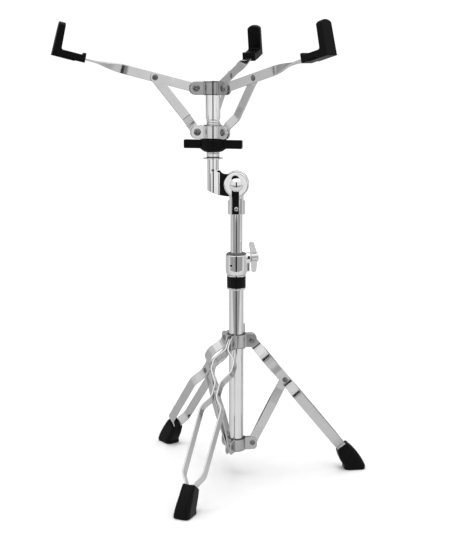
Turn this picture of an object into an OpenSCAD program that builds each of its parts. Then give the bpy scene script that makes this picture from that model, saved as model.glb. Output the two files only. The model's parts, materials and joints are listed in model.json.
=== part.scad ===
// Snare drum stand: folding double-braced tripod, height column, ratchet tilter and three-arm basket.
// Millimetres. The origin is on the floor under the column's axis and +Z is up.
// Legs, stays and basket arms are drawn once, in a plane that holds the axis, and turned about it.

/* [Tripod] */
// Turn of the right leg about the column; the other two stand 120 degrees apart
leg_turn = 8.3; // [0:0.1:40]
// Angle of the legs from the vertical
leg_angle = 39.2; // [37:0.1:41]
// Distance of the leg pivots from the column's axis
leg_pivot_r = 19.8; // [19:0.1:21]
// Height of the leg pivots
leg_pivot_z = 180.6; // [178:0.1:184]
// Distance along a leg from its pivot to the knee rivet
knee_s = 70; // [68:0.5:74]
// Width of a leg bar
leg_w = 12.8; // [11:0.1:14]
// Thickness of a leg bar
leg_t = 2; // [1.5:0.1:2.2]
// Distance of a leg bar from the middle plane where the pair stands apart
leg_apart = 14; // [12:0.5:15]
// Distance of the stay pivots from the column's axis
stay_pivot_r = 21.3; // [20:0.1:23]
// Height of the stay pivots
stay_pivot_z = 41.8; // [40:0.1:46]
// Width of a stay strip
stay_w = 11.5; // [10:0.1:12]
// Thickness of a stay strip
stay_t = 1.5; // [1:0.1:1.6]
// Length of a rubber foot's sole
sole_l = 29; // [26:1:34]
// Width of a rubber foot's sole
sole_w = 22; // [20:1:30]

/* [Column] */
// Outer diameter of the lower tube
lower_d = 19.05; // [19:0.05:19.3]
// Height of the lower tube's bottom end
lower_z0 = 34; // [30:1:36]
// Outer diameter of the middle tube
middle_d = 15.5; // [15.2:0.1:15.6]
// Outer diameter of the height clamp
clamp_d = 28; // [26:0.5:30]
// Height of the clamp's lower edge
clamp_z0 = 269; // [265:0.5:270]
// Height of the clamp's upper edge
clamp_z1 = 294; // [293:0.5:296]
// Outer diameter of the blank band below the clamp
band_d = 24.4; // [22:0.2:26]

/* [Tilter] */
// Height of the tilt axis, which runs front to back
tilt_z = 384.5; // [383:0.5:388]
// Radius of the two round cheeks
cheek_r = 15.8; // [15.5:0.1:17]
// Distance between the outer faces of the cheeks
fork_w = 28; // [28:0.5:30]
// Diameter of the barrel round the middle tube
barrel_d = 22.4; // [21:0.2:24]
// Width of the groove down the front of the fork
groove_w = 8.8; // [7:0.2:10]

/* [Basket] */
// Offset of the basket post from the column's axis
post_x = -29.6; // [-31:0.1:-29]
// Outer diameter of the basket post
post_d = 15; // [14.8:0.1:15.2]
// Turn of the front arm about the post; the other two stand 120 degrees apart
arm_turn = -45.9; // [-60:0.1:-30]
// Distance of the arm pivots from the post's axis
arm_pivot_r = 22.1; // [21.5:0.1:23]
// Height of the arm pivots
arm_pivot_z = 504.6; // [503:0.1:506]
// Slope of the arms above the horizontal
arm_angle = 14.6; // [12:0.1:17]
// Distance along an arm from its pivot to the brace rivet
arm_rivet_s = 52.9; // [50:0.1:55]
// Distance of the brace pivots from the post's axis
brace_pivot_r = 20.8; // [20:0.1:21.5]
// Height of the brace pivots
brace_pivot_z = 450.1; // [449:0.1:452]
// Width of an arm's flat bar
arm_w = 11.5; // [10:0.1:12]
// Thickness of an arm's flat bar
arm_t = 2.5; // [2:0.1:2.6]
// Distance along an arm from its pivot to the inner face of its grip
grip_s = 171.8; // [160:0.2:175]
// Width of a rubber grip
grip_w = 18; // [16:0.5:20]

/* [Hidden] */
$fn = 48;

chrome = [0.80, 0.81, 0.83];
steel = [0.66, 0.67, 0.69];
black = [0.07, 0.07, 0.07];
nylon = [0.16, 0.16, 0.17];
rubber = [0.05, 0.05, 0.05];

running = 0.05;      // radial play of a turning or sliding fit
seat = 0.05;         // gap between parts that are fixed to each other
blank = 60;          // longer than any cut it makes
tube_wall = 1.25;    // wall of the lower and middle tubes

right_turn = leg_turn;
rear_turn = leg_turn + 120;
front_turn = leg_turn + 240;
lock_turn = leg_turn + 60;

// Leg bars: half the distance between the pair at its top, at the knee and inside the foot
leg_shut = 1.25;
leg_neck = 3;
leg_toe = 5.5;
leg_end_s = 209;
leg_hole_r = 2.5;
knee_hole_r = 2.3;
knee_r = leg_pivot_r + knee_s * sin(leg_angle);
knee_z = leg_pivot_z - knee_s * cos(leg_angle);

// Stay strips
stay_l = norm([knee_r - stay_pivot_r, knee_z - stay_pivot_z]);
stay_lean = atan2(knee_r - stay_pivot_r, knee_z - stay_pivot_z);
stay_shut = 1;
stay_apart = 2.6;

// Sheet ears: half gap, thickness, reach past the pivot
collar_gap = leg_shut + leg_t / 2 + 0.1;
collar_ear_t = 1.8;
bracket_gap = stay_shut + stay_t / 2 + 0.1;
bracket_ear_t = 1.8;
hub_gap = arm_t / 2 + 0.1;
hub_ear_t = 2.3;
slider_gap = 1.1;
slider_ear_t = 2;

// Height clamp: its wing bolt rises a little outwards
bolt_z = 290;
bolt_rise = 5;
bolt_r = 3;
lug_x = 18.6;
pin_turn = -118;
pin_z = 281;

// Tilter: the casting turns between the cheeks, the ratchet plate is fixed to the rear one
cheek_y = 6.2;
fork_z0 = 346;
fork_floor_z = 362.8;
casting_r = 14.5;
casting_front = -6;
casting_back = 4.2;
pivot_bolt_r = 4;
groove_floor = 9.2;
groove_x = -1.2;
groove_top = 396.2;
screw_z = 353.4;

// Basket
post_top = 509;
post_bore_r = 6.25;
washer_z = 416;
sleeve_z0 = 418.8;
sleeve_r = 8.3;
hub_tube_r = 9.1;
hub_tube_z0 = 466;
hub_z0 = 496;
hub_z1 = 512.4;
slider_z0 = 441.4;
slider_z1 = 458.4;
brace_t = 2;
brace_w = 11.7;
brace_side = arm_t / 2 + 0.1 + brace_t / 2;
brace_bow = 7.4;
brace_foot = [brace_pivot_r, brace_pivot_z];
arm_rivet = [arm_pivot_r + arm_rivet_s * cos(arm_angle), arm_pivot_z + arm_rivet_s * sin(arm_angle)];
brace_l = norm(arm_rivet - brace_foot);
brace_lean = atan2(arm_rivet.x - brace_foot.x, arm_rivet.y - brace_foot.y);
arm_hole_r = 2.3;
rivet_r = 2.45;
twist_s0 = 86;
twist_s1 = 127;
grip_in = 141;
grip_out = grip_s + 9.7;
grip_base = -5.4;
grip_seat = 4.4;
grip_top = 36.4;

// ---------- outlines ----------

function heading(a, b) = atan2(b.y - a.y, b.x - a.x);
function turn_of(h0, h1) = let (d = h1 - h0) d > 180 ? d - 360 : d < -180 ? d + 360 : d;
function normal_at(h) = [-sin(h), cos(h)];

// One rounded corner at b on the way from a to c: [point, left-hand normal] along the arc
function corner(a, b, c, r, n) =
    let (h0 = heading(a, b), turn = turn_of(h0, heading(b, c)), side = sign(turn),
        start = b - r * tan(abs(turn) / 2) * [cos(h0), sin(h0)],
        centre = start + side * r * normal_at(h0))
    [for (k = [0 : n]) let (m = normal_at(h0 + turn * k / n)) [centre - side * r * m, m]];

// A path with rounded corners, then the outline of a strip of thickness t along it
function bent(p, r) = let (e = len(p) - 1)
    concat([[p[0], normal_at(heading(p[0], p[1]))]],
        [for (i = [1 : e - 1]) each corner(p[i - 1], p[i], p[i + 1], r, 5)],
        [[p[e], normal_at(heading(p[e - 1], p[e]))]]);
function ribbon(p, r, t) = let (c = bent(p, r), e = len(c) - 1)
    concat([for (q = c) q[0] + t / 2 * q[1]], [for (i = [e : -1 : 0]) c[i][0] - t / 2 * c[i][1]]);

// A closed outline whose corners are rounded, each with its own radius (0 leaves it sharp)
function rounded(p, r) = let (n = len(p))
    [for (i = [0 : n - 1]) each r[i] == 0 ? [p[i]]
        : [for (q = corner(p[(i + n - 1) % n], p[i], p[(i + 1) % n], r[i], 6)) q[0]]];

// ---------- shared shapes ----------

module tube(d, wall, z0, z1)
    translate([0, 0, z0]) difference() {
        cylinder(d = d, h = z1 - z0);
        translate([0, 0, -1]) cylinder(r = d / 2 - wall, h = z1 - z0 + 2);
    }

// A bar along Y
module across(r, h) rotate([90, 0, 0]) cylinder(r = r, h = h, center = true);

// A plate in the XZ plane, drawn from its outline and centred on y
module plate(outline, y, t)
    translate([0, y + t / 2, 0]) rotate([90, 0, 0]) linear_extrude(t) polygon(outline);

// A low dome on the +Z side of z = 0
module dome(r, h) {
    ball = (r * r + h * h) / (2 * h);
    intersection() {
        translate([0, 0, h - ball]) sphere(ball);
        cylinder(r = r, h = h);
    }
}

// A rivet along Y with a domed head at each end, outside faces y0 either side
module rivet(shank_r, head_r, head_h, y0) {
    across(shank_r, 2 * y0 + 0.1);
    for (s = [-1, 1])
        translate([0, s * y0, 0]) rotate([-s * 90, 0, 0]) dome(head_r, head_h);
}

// Places its children on the three radial planes, the first at turn a
module thrice(a) for (k = [0 : 2]) rotate([0, 0, a + 120 * k]) children();

// A ring with three pairs of rounded ears; pv = [r, z] of the pivots
module ear_ring(bore_r, ring_r, z0, z1, a, gap, ear_t, pv, reach, round_r, hole_r) {
    ear = rounded([[bore_r, z0], [pv.x + reach, z0], [pv.x + reach, z1], [bore_r, z1]],
        [0, round_r, round_r, 0]);
    difference() {
        union() {
            translate([0, 0, z0]) cylinder(r = ring_r, h = z1 - z0);
            thrice(a) for (s = [-1, 1]) plate(ear, s * (gap + ear_t / 2), ear_t);
        }
        translate([0, 0, z0 - 1]) cylinder(r = bore_r, h = z1 - z0 + 2);
        thrice(a) translate([pv.x, 0, pv.y]) across(hole_r, 2 * (gap + ear_t) + 1);
    }
}

// A wing head along +X: hub from x0 to x1, blades in the XZ plane swept back towards the shank
module wing_head(hub_r, x0, x1, span, sweep, t) {
    blade = rounded([[x0 + 0.5, 0], [x0 + 0.8 - sweep, span * 0.84], [x0 + 2 - sweep, span],
        [x0 + 5.6 - sweep, span * 0.86], [x1, hub_r * 0.7], [x1, 0]], [0, 2, 1.5, 3, 1.5, 0]);
    translate([x0, 0, 0]) rotate([0, 90, 0]) cylinder(r = hub_r, h = x1 - x0);
    plate(blade, 0, t);
    mirror([0, 0, 1]) plate(blade, 0, t);
}

// ---------- column ----------

module lower_tube() color(chrome) difference() {
    tube(lower_d, tube_wall, lower_z0, clamp_z1 - 0.5);
    wing_bolt_place() translate([6, 0, 0]) rotate([0, 90, 0]) cylinder(r = bolt_r + 0.1, h = 8);
    rotate([0, 0, pin_turn]) translate([6, 0, pin_z]) rotate([0, 90, 0]) cylinder(r = 1.6, h = 6);
}

module stay_bracket() color(chrome) ear_ring(lower_d / 2 + seat, 12, stay_pivot_z - 9.3,
    stay_pivot_z + 7.3, leg_turn, bracket_gap, bracket_ear_t, [stay_pivot_r, stay_pivot_z],
    6.2, 5.5, rivet_r + running);

module stay_bracket_rivets() color(steel) thrice(leg_turn)
    translate([stay_pivot_r, 0, stay_pivot_z]) rivet(rivet_r, 3.6, 1.2, bracket_gap + bracket_ear_t);

module wing_bolt_place() translate([14, 0, bolt_z]) rotate([0, -bolt_rise, 0])
    translate([-14, 0, 0]) children();

// The casting round the tube's upper end, with the lug that takes the wing bolt
module height_clamp() {
    lug = rounded([[5, clamp_z0 + 1], [14.5, clamp_z0 + 1], [lug_x, clamp_z0 + 7.5],
        [lug_x, clamp_z1 + 2.6], [5, clamp_z1 + 2.6]], [0, 2, 2, 2, 0]);
    color(chrome) difference() {
        union() {
            translate([0, 0, clamp_z0]) cylinder(d = clamp_d, h = clamp_z1 - clamp_z0 - 1);
            translate([0, 0, clamp_z1 - 1]) cylinder(d1 = clamp_d, d2 = clamp_d - 1.6, h = 1);
            translate([0, 0, clamp_z0 - 1]) cylinder(d1 = band_d + 1, d2 = clamp_d, h = 1);
            plate(lug, 0, 12.5);
        }
        translate([0, 0, clamp_z0 - 2]) cylinder(r = lower_d / 2 + seat, h = blank);
        translate([0, 0, clamp_z1]) cylinder(d = clamp_d - 1, h = 20);
        wing_bolt_place() rotate([0, 90, 0]) cylinder(r = bolt_r + running, h = blank);
        rotate([0, 0, pin_turn]) translate([6, 0, pin_z]) rotate([0, 90, 0])
            cylinder(r = 1.65, h = 20);
    }
}

module clamp_band() color(black) {
    difference() {
        translate([0, 0, clamp_z0 - 20.6]) rotate_extrude() polygon(rounded([
            [lower_d / 2 + seat, 0], [band_d / 2, 0], [band_d / 2, 19.3], [lower_d / 2 + seat, 19.3]],
            [0, 1.6, 0.8, 0]));
    }
}

module clamp_pin() color(black) rotate([0, 0, pin_turn]) translate([8.6, 0, pin_z])
    rotate([0, 90, 0]) cylinder(r = 1.55, h = clamp_d / 2 - 9.6);

// Nylon sleeve between the two tubes, with a flange on top of the clamp
module clamp_bushing() color(nylon) difference() {
    union() {
        translate([0, 0, 258]) cylinder(r = lower_d / 2 - tube_wall - 0.06, h = clamp_z1 - 258 + 1);
        translate([0, 0, clamp_z1 + seat]) cylinder(r = 12.4, h = 1.1);
        translate([0, 0, clamp_z1 + seat + 1.1]) cylinder(r1 = 12.4, r2 = 11, h = 0.9);
    }
    translate([0, 0, 250]) cylinder(r = middle_d / 2 + running, h = blank);
}

module clamp_wing_bolt() color(chrome) wing_bolt_place() {
    translate([8.6, 0, 0]) rotate([0, 90, 0]) cylinder(r = bolt_r, h = 12);
    wing_head(5, 19.2, 28.2, 21.5, 1.2, 3.4);
}

module middle_tube() color(chrome) tube(middle_d, tube_wall, 87, fork_floor_z - 1.5);

// ---------- tripod ----------

module leg_collar() color(chrome) difference() {
    union() {
        ear_ring(lower_d / 2 + running, 12, leg_pivot_z - 9, leg_pivot_z + 9.4, leg_turn,
            collar_gap, collar_ear_t, [leg_pivot_r, leg_pivot_z], 6.6, 6, rivet_r + running);
        rotate([0, 0, lock_turn]) translate([10.5, 0, leg_pivot_z]) rotate([0, 90, 0])
            cylinder(r = 5.5, h = 8);
    }
    rotate([0, 0, lock_turn]) translate([6, 0, leg_pivot_z]) rotate([0, 90, 0])
        cylinder(r = bolt_r + running, h = 20);
}

module leg_collar_rivets() color(steel) thrice(leg_turn)
    translate([leg_pivot_r, 0, leg_pivot_z]) rivet(rivet_r, 3.7, 1.2, collar_gap + collar_ear_t);

module collar_wing_screw() color(chrome) rotate([0, 0, lock_turn]) translate([0, 0, leg_pivot_z]) {
    translate([lower_d / 2 + running, 0, 0]) rotate([0, 90, 0]) cylinder(r = bolt_r, h = 11);
    wing_head(4.6, 19.2, 26, 18, -2, 3);
}

// The leg's own frame: x runs down the leg from its pivot, y is across, z is the bar's width
module leg_place(a) rotate([0, 0, a]) translate([leg_pivot_r, 0, leg_pivot_z])
    rotate([0, 90 - leg_angle, 0]) children();

leg_path = [[-8, leg_shut], [12, leg_shut], [25, leg_apart], [41, leg_apart], [57, leg_neck],
    [77, leg_neck], [91, leg_apart], [179, leg_apart - 0.6], [191.5, leg_toe], [leg_end_s, leg_toe]];

module leg_bar_solid(t, w) linear_extrude(w, center = true) polygon(ribbon(leg_path, 9, t));

module leg_bar(a, side) color(chrome) leg_place(a) mirror([0, side < 0 ? 1 : 0, 0]) difference() {
    intersection() {
        leg_bar_solid(leg_t, leg_w);
        union() {
            across(leg_w / 2, blank);
            translate([0, -blank / 2, -leg_w / 2]) cube([leg_end_s + 1, blank, leg_w]);
        }
    }
    across(rivet_r + running, blank);
    translate([knee_s, 0, 0]) across(knee_hole_r, blank);
}

// The knee's two headed stubs, one in each bar; the stays end between them
module knee_rivets(a) color(steel) leg_place(a) translate([knee_s, 0, 0])
    for (s = [-1, 1]) translate([0, s * (leg_neck - leg_t / 2), 0]) rotate([-s * 90, 0, 0]) {
        cylinder(r = knee_hole_r - seat, h = leg_t + 0.05);
        translate([0, 0, leg_t]) dome(3.6, 1.2);
    }

// A boot with a flat sole: its side outline, tapered in width towards the top
module foot(a) color(rubber) rotate([0, 0, a]) difference() {
    heel_r = 144.7;
    mouth_z = 31.4;
    mouth_r = leg_pivot_r + (leg_pivot_z - mouth_z) * tan(leg_angle);
    up = [cos(leg_angle), sin(leg_angle)];
    mouth = [mouth_r + 0.4, mouth_z];
    side = concat([[heel_r + 1.2, 0], [heel_r + sole_l - 2, 0], [heel_r + sole_l, 2], [heel_r + sole_l, 5]],
        foot_arc([heel_r + sole_l, 5], mouth + 8.6 * up, 110),
        foot_arc(mouth - 8 * up, [heel_r, 5], 62));
    front = [[-sole_w / 2 + 1, 0], [sole_w / 2 - 1, 0], [sole_w / 2, 1.5], [sole_w / 2, 4],
        [sole_w / 2 - 0.6, 6], [8.2, 40], [-8.2, 40], [-sole_w / 2 + 0.6, 6], [-sole_w / 2, 4],
        [-sole_w / 2, 1.5]];
    intersection() {
        plate(side, 0, sole_w + 2);
        translate([120, 0, 0]) rotate([90, 0, 90]) linear_extrude(blank) polygon(front);
    }
    rotate([0, 0, -a]) for (m = [0, 1]) leg_place(a) mirror([0, m, 0])
        leg_bar_solid(leg_t + 2 * seat, leg_w + 2 * seat);
}

// Points on a circular arc of radius r from p to q, bulging to the right of the way there
function foot_arc(p, q, r) = let (d = norm(q - p), h = heading(p, q), half = asin(d / 2 / r),
    centre = (p + q) / 2 + r * cos(half) * normal_at(h))
    [for (k = [1 : 9]) centre + r * [cos(h - 90 - half + 2 * half * k / 9),
        sin(h - 90 - half + 2 * half * k / 9)]];

// The stay's own frame: x runs up the stay from its pivot in the bracket
module stay(a, side) {
    path = [[-8, stay_shut], [12, stay_shut], [34, stay_apart], [stay_l - 36, stay_apart],
        [stay_l - 14, stay_shut], [stay_l + 8, stay_shut]];
    color(chrome) rotate([0, 0, a]) translate([stay_pivot_r, 0, stay_pivot_z])
        rotate([0, stay_lean - 90, 0]) mirror([0, side < 0 ? 1 : 0, 0]) difference() {
            intersection() {
                linear_extrude(stay_w, center = true) polygon(ribbon(path, 9, stay_t));
                union() {
                    across(stay_w / 2, blank);
                    translate([stay_l, 0, 0]) across(stay_w / 2, blank);
                    translate([0, -blank / 2, -stay_w / 2]) cube([stay_l, blank, stay_w]);
                }
            }
            across(rivet_r + running, blank);
            translate([stay_l, 0, 0]) across(knee_hole_r, blank);
        }
}

// ---------- tilter ----------

// A disc along Y from y0 to y1 with its rim eased by e at both faces
module eased_disc(r, y0, y1, e) translate([0, y1, 0]) rotate([90, 0, 0]) rotate_extrude()
    polygon([[0, 0], [r - e, 0], [r - e * 0.3, e * 0.3], [r, e], [r, y1 - y0 - e],
        [r - e * 0.3, y1 - y0 - e * 0.3], [r - e, y1 - y0], [0, y1 - y0]]);

module tilter_fork() color(chrome) difference() {
    union() {
        translate([0, 0, fork_z0 + 0.8]) cylinder(d = barrel_d, h = 374 - fork_z0 - 0.8);
        translate([0, 0, fork_z0]) cylinder(d1 = barrel_d - 1.6, d2 = barrel_d, h = 0.8);
        translate([0, 0, tilt_z]) {
            eased_disc(cheek_r, -fork_w / 2, -cheek_y, 1.4);
            eased_disc(cheek_r, cheek_y, fork_w / 2, 1.4);
        }
    }
    translate([-blank / 2, -cheek_y, fork_floor_z]) cube([blank, 2 * cheek_y, blank]);
    translate([0, 0, fork_z0 - 1]) cylinder(r = middle_d / 2 + seat, h = fork_floor_z - fork_z0 + 1.1);
    translate([groove_x - groove_w / 2, -20, fork_z0 - 1])
        cube([groove_w, 20 - groove_floor, groove_top - groove_w / 2 - fork_z0 + 1]);
    translate([groove_x, -20, groove_top - groove_w / 2]) rotate([-90, 0, 0])
        cylinder(d = groove_w, h = 20 - groove_floor);
    translate([0, 0, tilt_z]) across(pivot_bolt_r + seat, blank);
    translate([0, 0, screw_z]) rotate([90, 0, 0]) cylinder(r = 1.55, h = 20);
}

module tilter_set_screw() color(steel) translate([0, 0, screw_z]) rotate([90, 0, 0]) difference() {
    union() {
        translate([0, 0, middle_d / 2 + seat]) cylinder(r = 1.5, h = 2);
        translate([0, 0, groove_floor + 0.02]) cylinder(r = 2.7, h = 1.1);
        translate([0, 0, groove_floor + 1.1]) dome(2.7, 0.8);
    }
    translate([-3, -0.35, groove_floor + 1]) cube([6, 0.7, 2]);
}

// Toothed plates that face each other across a small gap: radial slots in one face
module tooth_grooves(r0, r1, y) for (k = [0 : 23]) rotate([0, 15 * k, 0])
    translate([r0, y - 0.5, -0.5]) cube([r1 - r0 + 1, 1, 1]);

module tilter_ratchet() color(steel) translate([0, 0, tilt_z]) difference() {
    plate_y = (casting_back + 0.25 + cheek_y - 0.02) / 2;
    translate([0, plate_y, 0]) across(casting_r, 2 * (cheek_y - 0.02 - plate_y));
    across(pivot_bolt_r + seat, blank);
    tooth_grooves(9, casting_r, casting_back + 0.25);
}

module tilter_bolt() color(chrome) translate([0, 0, tilt_z]) {
    rotate([-90, 0, 0]) translate([0, 0, -fork_w / 2 - 0.02]) cylinder(r = pivot_bolt_r, h = fork_w + 11);
    translate([0, -fork_w / 2 - 0.02, 0]) rotate([90, 0, 0]) {
        cylinder(r = 8.6, h = 1);
        translate([0, 0, 1]) dome(8.6, 4);
    }
}

module tilter_wing_nut() color(chrome) translate([0, 0, tilt_z]) rotate([0, 0, 90]) difference() {
    union() {
        translate([fork_w / 2 + 0.1, 0, 0]) rotate([0, 90, 0]) cylinder(r1 = 8.5, r2 = 6, h = 5);
        rotate([90, 0, 0]) wing_head(6, fork_w / 2 + 1, fork_w / 2 + 9.5, 15, -2, 3.6);
    }
    rotate([0, 90, 0]) cylinder(r = pivot_bolt_r + running, h = blank);
}

// Hub between the cheeks, web, and the plug inside the basket post
module tilter_casting() {
    web = concat([[0, tilt_z - 15], [-12, tilt_z - 15.6], [post_x + post_d / 2 - 3, tilt_z - 13.6],
        [post_x + post_d / 2 - 3, tilt_z + 16.6], [post_x + post_d / 2 + 1.6, tilt_z + 16.6]],
        [for (k = [0 : 6]) [-13.6, tilt_z + 20.2] + 8 * [cos(207 + 9 * k), sin(207 + 9 * k)]],
        [[0, tilt_z + 12]]);
    color(black) difference() {
        union() {
            translate([0, (casting_front + casting_back) / 2, tilt_z])
                across(casting_r, casting_back - casting_front);
            intersection() {
                plate(web, -0.8, 9.6);
                translate([-blank, -blank / 2, 350]) cube([blank, blank, blank]);
            }
            translate([post_x, 0, 366]) cylinder(r = post_bore_r - seat, h = 44);
        }
        translate([0, 0, tilt_z]) {
            across(pivot_bolt_r + running, blank);
            tooth_grooves(9, casting_r, casting_back);
        }
        post_end_cut(0.4);
        translate([post_x, 0, 402]) across(1.5, 20);
    }
}

// Everything below the post's sloping lower end
module post_end_cut(inset) translate([post_x, 0, 373.4 + inset]) rotate([0, 21.5, 0])
    translate([-20, -20, -40]) cube([40, 40, 40]);

// ---------- basket ----------

// The post's lower end is slit for the casting's web, and the slit's edges are flared into two lips
module basket_post() color(chrome) difference() {
    lips = rounded([[0, 366], [9.1, 366], [9.1, 398.6], [4, 400.6], [0, 400.6]], [0, 0, 3, 0, 0]);
    translate([post_x, 0, 0]) difference() {
        union() {
            translate([0, 0, 366]) cylinder(d = post_d, h = post_top - 366);
            plate(lips, -0.8, 11.5);
        }
        translate([0, 0, 365]) cylinder(r = post_bore_r, h = 150);
        translate([0, -5.65, 360]) cube([20, 9.7, 41.1]);
        translate([0, 0, 402]) across(1.5, 20);
    }
    post_end_cut(0);
}

module post_pin() color(steel) translate([post_x, 0, 402]) across(1.45, post_d + 0.6);

module post_washer() color(chrome) translate([post_x, 0, washer_z]) difference() {
    rotate_extrude() polygon(rounded([[post_d / 2 + seat, 0], [12.8, 0.3], [12.8, 1.3],
        [post_d / 2 + seat, 1]], [0, 0.3, 0.3, 0]));
}

module post_ring() color(rubber) translate([post_x, 0, 0])
    tube(15.9, 0.4, washer_z + 1.2, sleeve_z0 - 0.1);

// Threaded tube that turns on the post and carries the hub
module basket_sleeve() color(chrome) translate([post_x, 0, 0]) difference() {
    pitch = 2;
    union() {
        translate([0, 0, sleeve_z0]) cylinder(r1 = sleeve_r - 0.9, r2 = sleeve_r, h = 0.9);
        translate([0, 0, sleeve_z0 + 0.9]) cylinder(r = sleeve_r, h = post_top - sleeve_z0 - 0.9);
    }
    translate([0, 0, sleeve_z0 - 1]) cylinder(r = post_d / 2 + running, h = 120);
    for (z = [sleeve_z0 + 2 : pitch : hub_tube_z0 - 1]) translate([0, 0, z]) rotate_extrude()
        polygon([[sleeve_r + 0.1, -0.7], [sleeve_r - 0.35, 0], [sleeve_r + 0.1, 0.7]]);
}

module hub_tube() color(chrome) translate([post_x, 0, 0]) difference() {
    tube(2 * hub_tube_r, hub_tube_r - sleeve_r - seat, hub_tube_z0, post_top);
    for (k = [0 : 5]) rotate([0, 0, -129 + 60 * k]) translate([hub_tube_r - 0.3, 0, hub_tube_z0 + 2.6])
        rotate([0, 90, 0]) cylinder(r = 0.8, h = 2);
}

module basket_hub() color(chrome) translate([post_x, 0, 0]) {
    ear_ring(hub_tube_r + seat, 12, hub_z0, hub_z1, arm_turn, hub_gap, hub_ear_t,
        [arm_pivot_r, arm_pivot_z], 8.2, 8, rivet_r + running);
    translate([0, 0, post_top + 0.1]) cylinder(r = 11, h = hub_z1 - post_top - 0.1);
}

module hub_rivets() color(steel) translate([post_x, 0, 0]) thrice(arm_turn)
    translate([arm_pivot_r, 0, arm_pivot_z]) rivet(rivet_r, 4.6, 1.7, hub_gap + hub_ear_t);

module basket_slider() color(chrome) translate([post_x, 0, 0])
    ear_ring(hub_tube_r + 0.08, 11.8, slider_z0, slider_z1, arm_turn, slider_gap, slider_ear_t,
        brace_foot, 8.2, 8, rivet_r + running);

module slider_rivets() color(steel) translate([post_x, 0, 0]) thrice(arm_turn)
    translate([brace_pivot_r, 0, brace_pivot_z]) rivet(rivet_r, 4.6, 1.5, slider_gap + slider_ear_t);

// Moulded wing nut that pushes the slider up
module basket_nut() color(black) translate([post_x, 0, 0]) rotate([0, 0, -11]) difference() {
    wing = rounded([[0, -4.2], [26, -3], [37.5, -4.4], [37.5, 4.4], [26, 3], [0, 4.2]],
        [0, 12, 3.4, 3.4, 12, 0]);
    union() {
        translate([0, 0, 424.9]) rotate_extrude() polygon(rounded([[0, 0], [11.2, 0], [15.8, 3.6],
            [15.8, 15.9], [0, 15.9]], [0, 1.5, 1.5, 1.5, 0]));
        for (m = [0, 180]) rotate([0, 0, m]) translate([0, 0, 429]) linear_extrude(11) polygon(wing);
    }
    translate([0, 0, 420]) cylinder(r = sleeve_r + running, h = 30);
}

// The arm's own frame: x runs out along the arm from its pivot, y is across, z is up
module arm_place(a) translate([post_x, 0, 0]) rotate([0, 0, a])
    translate([arm_pivot_r, 0, arm_pivot_z]) rotate([0, -arm_angle, 0]) children();

// Flat bar on edge, a quarter twist, then flat under the drum
module arm(a) color(chrome) arm_place(a) {
    difference() {
        union() {
            across(arm_w / 2, arm_t);
            translate([0, -arm_t / 2, -arm_w / 2]) cube([twist_s0, arm_t, arm_w]);
        }
        across(rivet_r + running, blank);
        translate([arm_rivet_s, 0, 0]) across(arm_hole_r, blank);
    }
    translate([twist_s0, 0, 0]) rotate([0, 90, 0])
        linear_extrude(twist_s1 - twist_s0, twist = 90, slices = 18) square([arm_w, arm_t], center = true);
    translate([twist_s1, -arm_w / 2, -arm_t / 2]) cube([grip_s + 5 - twist_s1, arm_w, arm_t]);
}

module arm_rivet(a) color(steel) arm_place(a) translate([arm_rivet_s, 0, 0]) {
    across(arm_hole_r - seat, arm_t);
    translate([0, -arm_t / 2, 0]) rotate([90, 0, 0]) dome(3.8, 1.3);
}

// Side outline of the L-shaped grip, its arched top, and the pocket for the arm's end
module grip(a) color(rubber) arm_place(a) difference() {
    side = rounded([[grip_in, grip_base], [grip_out, grip_base], [grip_out, grip_top],
        [grip_out - 8.4, grip_top], [grip_s, grip_seat], [grip_in + 4.5, grip_seat],
        [grip_in + 3.5, grip_seat + 2.4], [grip_in + 0.6, grip_seat + 2.4]],
        [0.5, 1, 1, 1, 2, 1.5, 1.2, 1.2]);
    arch_r = (grip_w * grip_w / 4 + 16) / 8;
    intersection() {
        plate(side, 0, grip_w);
        translate([0, 0, grip_top - arch_r]) union() {
            rotate([0, 90, 0]) cylinder(r = arch_r, h = 200);
            translate([100, -grip_w / 2, -blank]) cube([100, grip_w, blank + arch_r - 4]);
        }
    }
    translate([grip_in - 1, -arm_w / 2 - seat, -arm_t / 2 - seat])
        cube([grip_s + 6 - grip_in + seat, arm_w + 2 * seat, arm_t + 2 * seat]);
    for (s = [-1, 1]) translate([grip_in + 12, s * grip_w / 2, grip_base + 1.6])
        translate([0, -0.6, -0.25]) cube([blank, 1.2, 0.5]);
}

// The brace's own frame: x runs up the brace from its pivot in the slider
module brace(a) {
    path = [[-8, 0], [11, 0], [24, brace_bow], [brace_l - 9, brace_side], [brace_l + 8, brace_side]];
    color(chrome) translate([post_x, 0, 0]) rotate([0, 0, a])
        translate([brace_pivot_r, 0, brace_pivot_z]) rotate([0, brace_lean - 90, 0]) {
            difference() {
                intersection() {
                    linear_extrude(brace_w, center = true) polygon(ribbon(path, 5, brace_t));
                    union() {
                        across(brace_w / 2, blank);
                        translate([brace_l, 0, 0]) across(brace_w / 2, blank);
                        translate([0, -blank / 2, -brace_w / 2]) cube([brace_l, blank, brace_w]);
                    }
                }
                across(rivet_r + running, blank);
            }
            translate([brace_l, brace_side + brace_t / 2, 0]) rotate([-90, 0, 0]) dome(3.8, 1.3);
        }
}

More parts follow.
